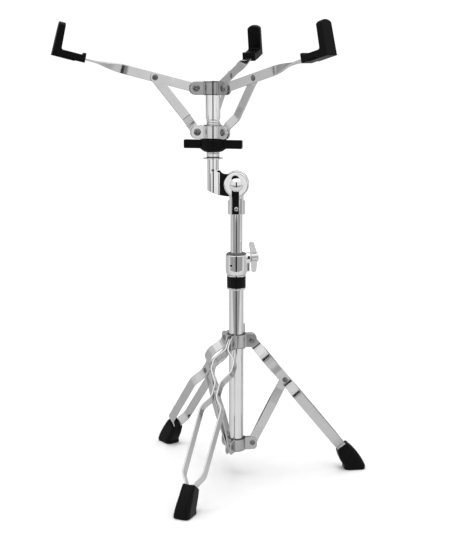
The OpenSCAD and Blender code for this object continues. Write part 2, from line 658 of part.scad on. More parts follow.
lower_tube();
stay_bracket();
stay_bracket_rivets();
height_clamp();
clamp_band();
clamp_pin();
clamp_bushing();
clamp_wing_bolt();
leg_collar();
leg_collar_rivets();
collar_wing_screw();
leg_bar(right_turn, -1);  // right_leg_bar_near
leg_bar(right_turn, 1);  // right_leg_bar_far
knee_rivets(right_turn);  // right_knee_rivets
foot(right_turn);  // right_foot
leg_bar(rear_turn, 1);  // rear_leg_bar_near
leg_bar(rear_turn, -1);  // rear_leg_bar_far
knee_rivets(rear_turn);  // rear_knee_rivets
foot(rear_turn);  // rear_foot
leg_bar(front_turn, 1);  // front_leg_bar_near
leg_bar(front_turn, -1);  // front_leg_bar_far
knee_rivets(front_turn);  // front_knee_rivets
foot(front_turn);  // front_foot
stay(right_turn, -1);  // right_stay_near
stay(right_turn, 1);  // right_stay_far
stay(rear_turn, 1);  // rear_stay_near
stay(rear_turn, -1);  // rear_stay_far
stay(front_turn, 1);  // front_stay_near
stay(front_turn, -1);  // front_stay_far
middle_tube();
tilter_fork();
tilter_set_screw();
tilter_ratchet();
tilter_bolt();
tilter_wing_nut();
tilter_casting();
basket_post();
post_pin();
post_washer();
post_ring();
basket_sleeve();
hub_tube();
basket_hub();
hub_rivets();
basket_slider();
slider_rivets();
basket_nut();
arm(arm_turn);  // front_arm
arm_rivet(arm_turn);  // front_arm_rivet
grip(arm_turn);  // front_grip
brace(arm_turn);  // front_brace
arm(arm_turn + 120);  // rear_arm
arm_rivet(arm_turn + 120);  // rear_arm_rivet
grip(arm_turn + 120);  // rear_grip
brace(arm_turn + 120);  // rear_brace
arm(arm_turn + 240);  // left_arm
arm_rivet(arm_turn + 240);  // left_arm_rivet
grip(arm_turn + 240);  // left_grip
brace(arm_turn + 240);  // left_brace
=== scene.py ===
"""Looks for a folding snare drum stand: chromed tubes and bars, castings, rubber feet and grips.

Shapes are worked out in millimetres in frames of their own, then placed in metres as in the CAD.
Castings, pressings and mouldings are meshed from distance fields, which blend their edges.
"""

import json
import math

import bpy
import numpy as np
from mathutils import Matrix, Vector


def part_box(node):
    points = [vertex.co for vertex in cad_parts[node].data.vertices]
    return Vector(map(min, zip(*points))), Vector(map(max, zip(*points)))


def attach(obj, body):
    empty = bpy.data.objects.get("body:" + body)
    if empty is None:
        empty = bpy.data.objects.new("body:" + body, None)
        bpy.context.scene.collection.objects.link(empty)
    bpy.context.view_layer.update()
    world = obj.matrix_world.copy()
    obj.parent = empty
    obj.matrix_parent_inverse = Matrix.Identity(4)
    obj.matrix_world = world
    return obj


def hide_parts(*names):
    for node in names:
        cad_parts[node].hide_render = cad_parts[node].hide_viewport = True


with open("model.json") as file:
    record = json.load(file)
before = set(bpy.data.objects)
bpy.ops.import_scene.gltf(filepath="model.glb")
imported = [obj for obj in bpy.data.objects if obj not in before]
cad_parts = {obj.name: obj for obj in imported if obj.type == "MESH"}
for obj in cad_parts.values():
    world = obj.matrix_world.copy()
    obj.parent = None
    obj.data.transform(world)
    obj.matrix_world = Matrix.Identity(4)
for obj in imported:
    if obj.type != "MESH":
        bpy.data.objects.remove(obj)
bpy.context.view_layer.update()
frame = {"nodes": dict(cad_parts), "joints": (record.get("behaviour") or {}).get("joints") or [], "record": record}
record = frame["record"]
joints = {j["name"]: j for j in frame["joints"]}
MM = 0.001
UP = Vector((0, 0, 1))

# ----- sizes the CAD's boxes don't give, in millimetres -----

LEG_BAR = {"width": 12.8, "thick": 2.0, "edge": 0.55}
LEG_PATH = ((-6.4, 1.25), (12, 1.25), (25, 14), (41, 14), (57, 3), (77, 3), (91, 14), (179, 13.4),
            (191.5, 5.5), (199.5, 5.5))
LEG_BEND, LEG_FIRST_BEND = 15, 9
STAY = {"width": 11.5, "thick": 1.5, "edge": 0.4}
STAY_SHUT, STAY_APART, STAY_BEND = 1.0, 2.6, 40
ARM = {"width": 11.5, "thick": 2.5, "edge": 0.5}
ARM_TWIST = (82, 130)
BRACE = {"width": 11.7, "thick": 2.0, "edge": 0.5}
BRACE_SIDE, BRACE_BOW, BRACE_BEND = 2.35, 7.4, 5
PLAY = 0.05
GRIP_WIDTH = 18.0
CLAMP_BORE = 9.7
POST_RADIUS, TUBE_BORE = 7.5, 6.25
SLEEVE_RADIUS = 8.3
THREAD_PITCH, THREAD_DEPTH = 2.0, 0.4
TILTER_BORE = 4.05
NUT_TURN = math.radians(-11)
BOLT_REST = math.radians(14)
LEGS, ARMS = ("right", "rear", "front"), ("front", "rear", "left")

# ----- bodies, slots and frames -----

NODE_BODY = {n: b for b, names in record["behaviour"]["bodies"].items() for n in names}
NODE_SLOT = {s["node"]: s["material_slot"] for s in record["subparts"]}


def middle(node):
    low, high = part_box(node)
    return (low + high) / 2


def node_points(node, matrix=Matrix.Identity(4)):
    """A CAD node's mesh points, in the frame that a matrix places."""
    back = matrix.inverted()
    return np.array([back @ v.co for v in frame["nodes"][node].data.vertices])


def joint_point(name):
    return Vector(joints[name]["pos_m"])


AXIS = Vector((0, 0, 0))
POST = joint_point("basket_turn")
LIMBS = {"leg": ("swing", "knee_rivets", AXIS), "stay": ("swing", "knee_rivets", AXIS),
         "arm": ("lift", "arm_rivet", POST), "brace": ("lift", "arm_rivet", POST)}


def basis(origin, x_axis, y_axis):
    z_axis = x_axis.cross(y_axis)
    matrix = Matrix((x_axis, y_axis, z_axis)).transposed().to_4x4()
    matrix.translation = origin
    return matrix


def limb_frame(side, limb):
    """x along a leg, stay, arm or brace from its pivot to its other rivet, y level across it."""
    move, rivet, centre = LIMBS[limb]
    origin = joint_point(f"{side}_{limb}_{move}")
    out = Vector((origin.x - centre.x, origin.y - centre.y, 0)).normalized()
    across = UP.cross(out)
    along = middle(f"{side}_{rivet}") - origin
    along = (along - across * along.dot(across)).normalized()
    return basis(origin, along, across)


def rivet_place(side, limb):
    """How far along a limb its other rivet lies, in millimetres."""
    return (limb_frame(side, limb).inverted() @ middle(f"{side}_{LIMBS[limb][1]}")).x / MM


def turn_about(centre, point):
    return math.atan2(point.y - centre.y, point.x - centre.x)


def reach_from(centre, joint):
    return math.hypot(*(joint_point(joint) - centre).xy) / MM


def at_post(height=0):
    return Matrix.Translation((POST.x, POST.y, height))


def along_and_side(x, y, turn):
    """Level places along a turn about the column and to the side of it."""
    return math.cos(turn) * x + math.sin(turn) * y, math.cos(turn) * y - math.sin(turn) * x


# ----- distance fields, in millimetres -----

def hypot(*parts):
    return np.sqrt(sum(part * part for part in parts))


def slab(value, low, high):
    return np.maximum(low - value, value - high)


def eased(radius, *walls):
    """Inside every wall, with the edges where walls meet rounded."""
    stack = np.stack(walls) + radius
    return hypot(*np.maximum(stack, 0)) + np.minimum(stack.max(0), 0) - radius


def join(a, b, blend):
    h = np.maximum(blend - np.abs(a - b), 0) / blend
    return np.minimum(a, b) - h * h * blend / 4


def cut(a, b, blend):
    return -join(-a, b, blend)


def from_segment(x, z, a, b):
    """How far along a segment its nearest spot is, as a share, and the offset from that spot."""
    ex, ez = b[0] - a[0], b[1] - a[1]
    t = np.clip(((x - a[0]) * ex + (z - a[1]) * ez) / (ex * ex + ez * ez), 0, 1)
    return t, x - a[0] - t * ex, z - a[1] - t * ez


def outline_wall(x, z, points):
    """Signed distance to a closed outline."""
    nearest = np.full(x.shape, np.inf)
    inside = np.zeros(x.shape, bool)
    for a, b in zip(points, points[1:] + points[:1]):
        _, dx, dz = from_segment(x, z, a, b)
        nearest = np.minimum(nearest, dx ** 2 + dz ** 2)
        if a[1] != b[1]:
            crossing = a[0] + (z - a[1]) * (b[0] - a[0]) / (b[1] - a[1])
            inside ^= ((a[1] > z) != (b[1] > z)) & (x < crossing)
    return np.where(inside, -1, 1) * np.sqrt(nearest)


def arc(start, end, radius, count):
    """Points from start, left out, to end along an arc that bulges to the right."""
    start, end = Vector(start), Vector(end)
    chord = end - start
    half = math.asin(chord.length / 2 / radius)
    left = Vector((-chord.y, chord.x)).normalized()
    centre = (start + end) / 2 + left * radius * math.cos(half)
    first = math.atan2(start.y - centre.y, start.x - centre.x)
    angles = [first + 2 * half * k / count for k in range(1, count + 1)]
    return [(centre.x + radius * math.cos(a), centre.y + radius * math.sin(a)) for a in angles]


def capsule(x, z, a, b, radius_a, radius_b):
    """Round-ended bar from a to b whose radius changes on the way."""
    t, dx, dz = from_segment(x, z, a, b)
    return hypot(dx, dz) - (radius_a + (radius_b - radius_a) * t)


def slope(field, points, step):
    sides = []
    for axis in range(3):
        offset = np.zeros(3)
        offset[axis] = step
        sides.append((field(*(points + offset).T) - field(*(points - offset).T)) / (2 * step))
    return np.stack(sides, -1)


def surface_net(field, low, high, cell):
    """Closed quad mesh of field = 0 between two corners: points, faces and exact normals."""
    axes = [np.arange(a - 1.5 * cell, b + 2.5 * cell, cell) for a, b in zip(low, high)]
    grid = np.stack(np.meshgrid(*axes, indexing="ij"), -1)
    value = field(*grid.reshape(-1, 3).T).reshape(grid.shape[:3])
    cells = tuple(n - 1 for n in value.shape)
    total, hits = np.zeros(cells + (3,)), np.zeros(cells)
    crossings = []
    for axis in range(3):
        ahead = np.moveaxis(value, axis, 0)
        start, end = ahead[:-1], ahead[1:]
        crosses = (start < 0) != (end < 0)
        share = np.where(crosses, start / np.where(crosses, start - end, 1), 0)
        place = np.moveaxis(grid, axis, 0)[:-1].copy()
        place[..., axis] += share * cell
        crosses, place = np.moveaxis(crosses, 0, axis), np.moveaxis(place, 0, axis)
        crossings.append(crosses)
        others = [a for a in range(3) if a != axis]
        for step_a in (0, 1):
            for step_b in (0, 1):
                window = [slice(0, cells[axis])] * 3
                window[others[0]] = slice(step_a, step_a + cells[others[0]])
                window[others[1]] = slice(step_b, step_b + cells[others[1]])
                hit = crosses[tuple(window)]
                total += hit[..., None] * place[tuple(window)]
                hits += hit
    mixed = hits > 0
    index = np.full(cells, -1)
    index[mixed] = np.arange(mixed.sum())
    points = total[mixed] / hits[mixed][:, None]
    faces = []
    for axis in range(3):
        b, c = (axis + 1) % 3, (axis + 2) % 3
        where = np.argwhere(crossings[axis])
        starts_inside = value[tuple(where.T)] < 0
        ring = []
        for step_b, step_c in ((1, 1), (0, 1), (0, 0), (1, 0)):
            corner = where.copy()
            corner[:, b] -= step_b
            corner[:, c] -= step_c
            ring.append(index[tuple(corner.T)])
        quads = np.stack(ring, -1)
        quads[~starts_inside] = quads[~starts_inside][:, ::-1]
        faces.append(quads)
    for _ in range(3):
        gradient = slope(field, points, cell / 8)
        reach = field(*points.T) / np.maximum((gradient ** 2).sum(-1), 0.25)
        points -= np.clip(reach, -cell / 2, cell / 2)[:, None] * gradient
    normals = slope(field, points, cell / 4)
    normals /= np.maximum(np.linalg.norm(normals, axis=1), 1e-6)[:, None]
    return points, np.concatenate(faces), normals


# ----- lofts and lathes, in millimetres -----

def bent_path(points, bend, step, first_bend):
    """Places along a line of straights joined by round bends: (x, y, heading)."""
    corners = [Vector(p) for p in points]
    bends = [first_bend or bend] + [bend] * len(points)
    line, place = [], corners[0]
    for before, at, after, radius in zip(corners, corners[1:], corners[2:], bends):
        into, out = (at - before).normalized(), (after - at).normalized()
        turn = math.atan2(into.x * out.y - into.y * out.x, into.dot(out))
        setback = radius * math.tan(abs(turn) / 2)
        start = at - into * setback
        line += straight(place, start, step)
        heading = math.atan2(into.y, into.x)
        side = math.copysign(1, turn)
        centre = start + radius * side * Vector((-into.y, into.x))
        count = max(3, int(abs(turn) * radius / step) + 1)
        for k in range(count):
            now = heading + turn * k / count
            spot = centre - radius * side * Vector((-math.sin(now), math.cos(now)))
            line.append((spot.x, spot.y, now))
        place = at + out * setback
    line += straight(place, corners[-1], step)
    final = corners[-1] - corners[-2]
    line.append((corners[-1].x, corners[-1].y, math.atan2(final.y, final.x)))
    return line


def straight(start, end, step):
    heading = math.atan2(end.y - start.y, end.x - start.x)
    count = max(1, int((end - start).length / step))
    return [(*(start + (end - start) * k / count), heading) for k in range(count)]


def bar_section(thick, edge):
    """Ring round a bar: thickness place, edge inset of the width, and the normal's two shares."""
    ring = []
    for corner in range(4):
        for k in range(5):
            angle = math.radians(90 * corner + 22.5 * k)
            a, b = math.cos(angle), math.sin(angle)
            sign_a = 1 if corner in (0, 3) else -1
            sign_b = 1 if corner in (0, 1) else -1
            ring.append((sign_a * (thick / 2 - edge) + edge * a, sign_b, edge * b, a, b))
    return ring


def packed_start(path, distance, way):
    """A path with its stations packed closer at its start, where a bar's end is round."""
    x, y, heading = path[0]
    count, packed = 10, []
    for k in range(count):
        run = way * distance * (1 - math.cos(math.pi / 2 * k / count))
        packed.append((x + run * math.cos(heading), y + run * math.sin(heading), heading))
    return packed + [p for p in path if math.dist(p[:2], (x, y)) >= distance]


def bar(size, points, bend, step=2.0, round_end=True, first_bend=None, twist=None):
    """Flat bar along a bent line, with eased edges, a half-round start and perhaps such an end."""
    half, thick, edge = size["width"] / 2, size["thick"], size["edge"]
    ring = bar_section(thick, edge)
    path = packed_start(bent_path(points, bend, step, first_bend), half, 1)
    if round_end:
        path = packed_start(path[::-1], half, -1)[::-1]
    length = sum(math.dist(p[:2], q[:2]) for p, q in zip(path, path[1:]))
    points, normals, run = [], [], 0
    previous = path[0]
    for x, y, heading in path:
        run += math.dist((x, y), previous[:2])
        previous = (x, y)
        lean, reach = 0, half
        for left, way in [(run, -1)] + [(length - run, 1)] * round_end:
            if left < half:
                lean = way * (half - left) / half
                reach = half * math.sqrt(max(1 - lean * lean, 0.0004))
        along = np.array((math.cos(heading), math.sin(heading), 0))
        across = np.array((-math.sin(heading), math.cos(heading), 0))
        wide = np.array((0, 0, 1.0))
        if twist:
            t = min(max((x - twist[0]) / (twist[1] - twist[0]), 0), 1)
            angle = math.radians(90) * (0.35 * t + 0.65 * t * t * (3 - 2 * t))
            across, wide = (math.cos(angle) * across - math.sin(angle) * wide,
                            math.sin(angle) * across + math.cos(angle) * wide)
        rim = math.sqrt(max(1 - lean * lean, 0))
        for place, sign, inset, share_a, share_b in ring:
            side = sign * max(reach - edge, 0.02) + inset
            points.append(np.array((x, y, 0)) + place * across + side * wide)
            normals.append(share_a * across + share_b * rim * wide + abs(share_b) * lean * along)
    return close_loft(points, normals, len(path), len(ring))


def ring_quads(low, high, count):
    """Quads between two rings of points, each given by the number of its first point."""
    return [(low + k, low + (k + 1) % count, high + (k + 1) % count, high + k)
            for k in range(count)]


def close_loft(points, normals, rows, count):
    """Quads between the rows of a loft, and a fan of quads over each end."""
    faces = []
    for row in range(rows - 1):
        faces += ring_quads(row * count, (row + 1) * count, count)
    last = (rows - 1) * count
    for k in range(count // 2 - 1):
        faces.append((count - 1 - k, count - 2 - k, k + 1, k))
        faces.append((last + k, last + k + 1, last + count - 2 - k, last + count - 1 - k))
    return np.array(points), faces, np.array(normals)


def turned(profile, count, wave=None):
    """Solid of revolution about z from (radius, z) points, the ends joined to each other."""
    points, faces = [], []
    rows = len(profile)
    for radius, z in profile:
        for k in range(count):
            angle = 2 * math.pi * k / count
            r = radius if wave is None else wave(radius, z, angle)
            points.append((r * math.cos(angle), r * math.sin(angle), z))
    for row in range(rows):
        faces += ring_quads(row * count, (row + 1) % rows * count, count)
    return np.array(points), faces, None


# ----- making pieces -----

def linked(name, data):
    """A new object that holds the data, in the scene."""
    thing = bpy.data.objects.new(name, data)
    bpy.context.scene.collection.objects.link(thing)
    return thing


def add_piece(name, shape, matrix, node, material=None, patch=None):
    """A mesh piece that stands for a CAD node, rides on its body and takes its slot's finish,
    unless another is given. patch is a second material and a test of which face middles take it."""
    points, faces, normals = shape
    mesh = bpy.data.meshes.new(name)
    rotation = np.array(matrix.to_3x3())
    spots = points * MM @ rotation.T + np.array(matrix.translation)
    mesh.from_pydata(spots.tolist(), [], [tuple(int(i) for i in face) for face in faces])
    mesh.validate(clean_customdata=False)
    mesh.update()
    mesh.polygons.foreach_set("use_smooth", [True] * len(mesh.polygons))
    piece = linked(name, mesh)
    if normals is None:
        mesh.set_sharp_from_angle(angle=math.radians(32))
    else:
        directions = normals @ rotation.T
        directions /= np.maximum(np.linalg.norm(directions, axis=1), 1e-9)[:, None]
        mesh.normals_split_custom_set_from_vertices(directions.tolist())
    mesh.materials.append(material or MATERIALS[NODE_SLOT[node]])
    if patch:
        mesh.materials.append(patch[0])
        chosen = patch[1](*points[faces].mean(1).T)
        mesh.polygons.foreach_set("material_index", chosen.astype(int))
    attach(piece, NODE_BODY[node])
    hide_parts(node)


# ----- materials -----

class Nodes:
    """Helper that adds and links the shader nodes of a new material, or of a world."""

    def __init__(self, name="", world=None):
        self.owner = world or bpy.data.materials.new(name)
        self.owner.use_nodes = True
        self.tree = self.owner.node_tree
        coords = self.tree.nodes.new("ShaderNodeTexCoord").outputs
        self.coords = coords["Generated" if world else "Object"]

    def add(self, kind, inputs=None, **settings):
        node = self.tree.nodes.new("ShaderNode" + kind)
        for key, value in settings.items():
            setattr(node, key, value)
        for key, value in (inputs or {}).items():
            self.put(node.inputs[key], value)
        return node

    def put(self, socket, value):
        if isinstance(value, bpy.types.NodeSocket):
            self.tree.links.new(value, socket)
        else:
            socket.default_value = value

    def noise(self, scale, detail=4, stretch=None, rough=0.5):
        vector = self.coords
        if stretch:
            vector = self.add("Mapping", {"Vector": vector, "Scale": stretch}).outputs["Vector"]
        inputs = {"Vector": vector, "Scale": scale, "Detail": detail, "Roughness": rough}
        return self.add("TexNoise", inputs).outputs["Fac"]

    def ramp(self, value, start, end):
        """Black up to start, white from end."""
        node = self.add("ValToRGB", {"Fac": value})
        for element, place in zip(node.color_ramp.elements, (start, end)):
            element.position = place
        return node.outputs["Color"]

    def spread(self, value, low=0.0, high=1.0, from_low=0.3, from_high=0.7, kind="LINEAR"):
        inputs = {"Value": value, "From Min": from_low, "From Max": from_high,
                  "To Min": low, "To Max": high}
        return self.add("MapRange", inputs, interpolation_type=kind).outputs["Result"]

    def math(self, operation, *values):
        return self.add("Math", dict(enumerate(values)), operation=operation).outputs["Value"]

    def split(self):
        return self.add("SeparateXYZ", {"Vector": self.coords}).outputs

    def length(self, vector):
        return self.add("VectorMath", {0: vector}, operation="LENGTH").outputs["Value"]

    def mix(self, share, a, b):
        node = self.add("Mix", data_type="RGBA")
        self.put(node.inputs[0], share)
        self.put(node.inputs[6], a)
        self.put(node.inputs[7], b)
        return node.outputs[2]

    def bump(self, height, strength, distance):
        inputs = {"Height": height, "Strength": strength, "Distance": distance}
        return self.add("Bump", inputs).outputs["Normal"]

    def finish(self, **sockets):
        for key, value in sockets.items():
            self.put(self.tree.nodes["Principled BSDF"].inputs[key.replace("_", " ")], value)
        return self.owner


def grey(level, tint=(1, 1, 1)):
    return (level * tint[0], level * tint[1], level * tint[2], 1)


def chrome(name, level, rough, grain, stretch, ring=None):
    """Bright plate: faint clouding, hairline scratches and smudges. A ring, given by its axis,
    bore, wall and two ends, also gets painted shade: a dark line where it meets its tube and along its ends."""
    n = Nodes(name)
    cloud = n.noise(38, 5)
    hairline = n.noise(900, 2, stretch=stretch, rough=0.7)
    smudge = n.noise(120, 6, rough=0.62)
    colour = n.mix(n.spread(cloud), grey(level - 0.05, (0.985, 0.99, 1)), grey(level))
    scratched = n.ramp(hairline, 0.62, 0.74)
    dull = n.spread(smudge, rough, rough + 0.05, 0.35, 0.75)
    roughness = n.math("MULTIPLY_ADD", scratched, 0.06, dull)
    peel = n.bump(n.noise(260, 3), grain, 0.00004)
    if ring:
        axis_x, bore, wall, low, high = ring
        x, y, z = n.split()
        from_axis = n.math("SUBTRACT", x, axis_x)
        reach = n.length(n.add("CombineXYZ", {"X": from_axis, "Y": y, "Z": 0.0}).outputs["Vector"])
        # Painted shade: a dark line at the bore, where the ring meets its tube, and along both ends of its wall
        gap = n.spread(reach, 1.0, 0.0, bore + 0.0007, bore + 0.0015)
        on_wall = n.spread(reach, 1.0, 0.0, wall + 0.0002, wall + 0.0008)
        ends = n.math("MAXIMUM", n.spread(z, 1.0, 0.0, low + 0.0005, low + 0.0011),
                      n.spread(z, 0.0, 1.0, high - 0.0010, high - 0.0004))
        dark = n.math("MAXIMUM", gap, n.math("MULTIPLY", ends, on_wall))
        colour = n.mix(dark, colour, grey(0.03))
    return n.finish(Base_Color=colour, Metallic=1.0, Roughness=roughness, Normal=peel)


def zinc(name, low, high):
    """Plated fastener steel, a little duller than the chrome."""
    n = Nodes(name)
    cloud = n.noise(300, 6)
    turned_marks = n.noise(1500, 2, stretch=(1, 1, 6))
    colour = n.mix(n.spread(cloud), grey(low), grey(high))
    rough = n.spread(turned_marks, 0.14, 0.3)
    return n.finish(Base_Color=colour, Metallic=1.0, Roughness=rough,
                    Normal=n.bump(turned_marks, 0.15, 0.00005))


def rubber(name, level):
    """Moulded black rubber: fine grain, faint bloom in patches, scuffs a little paler."""
    n = Nodes(name)
    bloom = n.noise(70, 6, rough=0.6)
    grain = n.noise(2600, 3)
    scuff = n.ramp(n.noise(420, 8, rough=0.75), 0.60, 0.72)
    base = n.mix(n.spread(bloom), grey(level), grey(level * 1.9))
    colour = n.mix(n.math("MULTIPLY", scuff, 0.35), base, grey(level * 4.5))
    rough = n.spread(bloom, 0.30, 0.46)
    return n.finish(Base_Color=colour, Roughness=rough, Specular_IOR_Level=0.11,
                    Normal=n.bump(grain, 0.35, 0.00009))


def moulded(name, level, low, high, peel=0.2, shine=0.09):
    """Moulded plastic or painted metal: orange peel and uneven gloss."""
    n = Nodes(name)
    patch = n.noise(160, 5)
    fine = n.noise(1400, 3)
    colour = n.mix(n.spread(patch), grey(level), grey(level * 1.7))
    return n.finish(Base_Color=colour, Roughness=n.spread(patch, low, high),
                    Specular_IOR_Level=shine, Normal=n.bump(fine, peel, 0.00006))


def banded(name, low, high):
    """Blank gloss-black sleeve whose two rims are left bright."""
    n = Nodes(name)
    height = n.split()["Z"]
    above = n.math("GREATER_THAN", height, low)
    below = n.math("LESS_THAN", height, high)
    painted = n.math("MULTIPLY", above, below)
    wave = n.noise(500, 4)
    black = n.mix(n.spread(wave), grey(0.002), grey(0.006))
    colour = n.mix(painted, grey(0.8), black)
    rough = n.math("MULTIPLY_ADD", painted, 0.12, n.spread(wave, 0.1, 0.16))
    return n.finish(Base_Color=colour, Metallic=n.math("SUBTRACT", 1.0, painted), Roughness=rough,
                    Specular_IOR_Level=0.12, Normal=n.bump(wave, 0.06, 0.00005))


band_low, band_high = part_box("clamp_band")
LOOKS = (
    ("chrome_tube", chrome, 0.90, 0.03, 0.05, (1, 1, 0.03)),
    ("chrome_fitting", chrome, 0.88, 0.05, 0.12, (1, 1, 0.4)),
    ("chrome_strip", chrome, 0.68, 0.12, 0.3, (0.5, 0.5, 0.5)),
    ("zinc_fastener", zinc, 0.42, 0.66),
    ("black_band", banded, band_low.z + 0.0028, band_high.z - 0.0017),
    ("black_casting", moulded, 0.003, 0.34, 0.48, 0.25),
    ("black_nylon", moulded, 0.09, 0.4, 0.55),
    ("black_plastic", moulded, 0.0028, 0.32, 0.46, 0.2, 0.07),
    ("black_rubber", rubber, 0.0013),
)
MATERIALS = {name: make(name, *values) for name, make, *values in LOOKS}
SATIN = chrome("chrome_satin", 0.88, 0.34, 0.3, (1, 1, 1))
RIVET = zinc("rivet_plate", 0.10, 0.30)


# ----- sheet rings with three pairs of ears -----

def ear_ring(node, centre, turn, bore, ring, gap, ear, reach, corner, level, boss=None):
    """A ring with pairs of ears, ear thick and 2 * gap apart, and perhaps a boss for a screw."""
    low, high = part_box(node)
    z0, z1 = low.z / MM, high.z / MM

    def field(x, y, z):
        body = eased(0.7, hypot(x, y) - ring, slab(z, z0, z1))
        for k in range(3):
            along, side = along_and_side(x, y, turn + math.radians(120) * k)
            plan = eased(corner, slab(along, 0, reach), slab(z, z0, z1))
            body = join(body, eased(0.45, plan, slab(np.abs(side), gap, gap + ear)), 1.5)
        if boss:
            boss_turn, height, radius, length = boss
            along, side = along_and_side(x, y, boss_turn)
            stub = eased(0.8, hypot(side, z - height) - radius, slab(along, 5, length))
            body = join(body, stub, 1.5)
        return cut(body, hypot(x, y) - bore, 0.5)

    shape = surface_net(field, (-reach, -reach, z0), (reach, reach, z1), cell=0.6)
    # The ring given to the plate brings painted shade at the bore and along the ends
    plate = chrome(f"{node}_body_plate", level, 0.09, 0.2, (1, 1, 0.4),
                   (centre.x, bore * MM, ring * MM, low.z, high.z))
    add_piece(f"{node}_body", shape, Matrix.Translation((centre.x, centre.y, 0)), node, plate)


leg_turn = turn_about(AXIS, joint_point("right_leg_swing"))
arm_turn = turn_about(POST, joint_point("front_arm_lift"))
screw_turn = turn_about(AXIS, joint_point("collar_screw_turn"))
tube_low, tube_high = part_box("lower_tube")
lower_bore = (tube_high.x - tube_low.x) / 2 / MM + PLAY
ear_ring("stay_bracket", AXIS, leg_turn, bore=lower_bore, ring=12,
         gap=1.85, ear=1.8, reach=reach_from(AXIS, "right_stay_swing") + 6.2, corner=5.5,
         level=0.55)
ear_ring("leg_collar", AXIS, leg_turn, bore=lower_bore, ring=12,
         gap=2.6, ear=1.55, reach=reach_from(AXIS, "right_leg_swing") + 6.6, corner=6, level=0.6,
         boss=(screw_turn, joint_point("collar_screw_turn").z / MM, 5.5, 18.5))
ear_ring("basket_hub", POST, arm_turn, bore=9.15, ring=12,
         gap=1.35, ear=2.3, reach=reach_from(POST, "front_arm_lift") + 8.2, corner=8, level=0.38)
ear_ring("basket_slider", POST, arm_turn, bore=9.18, ring=11.8,
         gap=1.1, ear=2.0, reach=reach_from(POST, "front_brace_lift") + 8.2, corner=8, level=0.72)


# ----- tripod -----

def mirror_y(shape, flip):
    """The shape for the other side of a limb, if it's to be flipped."""
    if not flip:
        return shape
    points, faces, normals = shape
    mirror = np.array((1, -1, 1))
    return points * mirror, [face[::-1] for face in faces], normals * mirror


leg_shape = bar(LEG_BAR, LEG_PATH, LEG_BEND, round_end=False, first_bend=LEG_FIRST_BEND)
stay_length, stay_half = rivet_place("right", "stay"), STAY["width"] / 2
STAY_PATH = ((-stay_half, STAY_SHUT), (12, STAY_SHUT), (34, STAY_APART),
             (stay_length - 36, STAY_APART), (stay_length - 14, STAY_SHUT),
             (stay_length + stay_half, STAY_SHUT))
stay_shape = bar(STAY, STAY_PATH, STAY_BEND)
STRIPS = (("leg", "leg_strip", "leg_bar", leg_shape), ("stay", "stay_strip", "stay", stay_shape))
for side in LEGS:
    for end, way in (("near", -1), ("far", 1)):
        flip = (way < 0) == (side == "right")
        for limb, piece, node, shape in STRIPS:
            add_piece(f"{side}_{piece}_{end}", mirror_y(shape, flip), limb_frame(side, limb),
                      f"{side}_{node}_{end}")


def foot_shape():
    """Rubber boot: curved front and back, rounded plan, and a mouth that the two bars enter."""
    down = limb_frame("right", "leg").col[0].to_3d()
    out, drop = math.hypot(down.x, down.y), -down.z
    start_r = reach_from(AXIS, "right_leg_swing")
    start_z = joint_point("right_leg_swing").z / MM
    direction = np.array((math.cos(leg_turn), math.sin(leg_turn), 0))
    toe = float((node_points("right_foot") @ direction).max()) / MM
    heel, sole_edge = toe - 29, 5
    mouth_z = 31.4
    mouth = Vector((start_r + (start_z - mouth_z) * out / drop + 0.4, mouth_z))
    across = Vector((drop, out))
    top_out, top_in = mouth + 8.6 * across, mouth - 8 * across
    tall = 15
    away = tall * Vector((-out, drop))
    side = [(heel, -tall), (toe, -tall), (toe, sole_edge)]
    side += arc((toe, sole_edge), top_out, 80, 9)
    side += [tuple(top_out + away), tuple(top_in + away), tuple(top_in)]
    side += arc(top_in, (heel, sole_edge), 48, 9)
    play = 0.15
    pocket_y = LEG_PATH[-1][1] + LEG_BAR["thick"] / 2 + play
    pocket_w, pocket_deep = LEG_BAR["width"] / 2 + play, 4

    def field(x, y, z):
        s = (x - mouth.x) * out - (z - mouth.y) * drop
        w = (x - mouth.x) * drop + (z - mouth.y) * out
        half_y = 11 - 2.9 * np.clip((z - 2) / 36, 0, 1)
        dip = 0.7 * np.cos(np.clip(y / 7.5, -1, 1) * math.pi / 2) ** 2
        corner = 3.0 + 3.4 * np.clip((s - 2) / 14, 0, 1)
        body = eased(corner, outline_wall(x, z, side), np.abs(y) - half_y)
        body = eased(1.3, body, (dip - s) * 0.9, -z)
        pocket = eased(0.8, slab(w, -pocket_w, pocket_w), slab(s, -12, pocket_deep),
                       np.abs(y) - pocket_y)
        return cut(body, pocket, 0.4)

    return surface_net(field, (mouth.x - 8, -11.2, 0), (toe, 11.2, top_out.y + 1), cell=0.7)


boot = foot_shape()
for k, side in enumerate(LEGS):
    turn = Matrix.Rotation(leg_turn + math.radians(120) * k, 4, "Z")
    add_piece(f"{side}_rubber_foot", boot, turn, f"{side}_foot")


# ----- height clamp -----

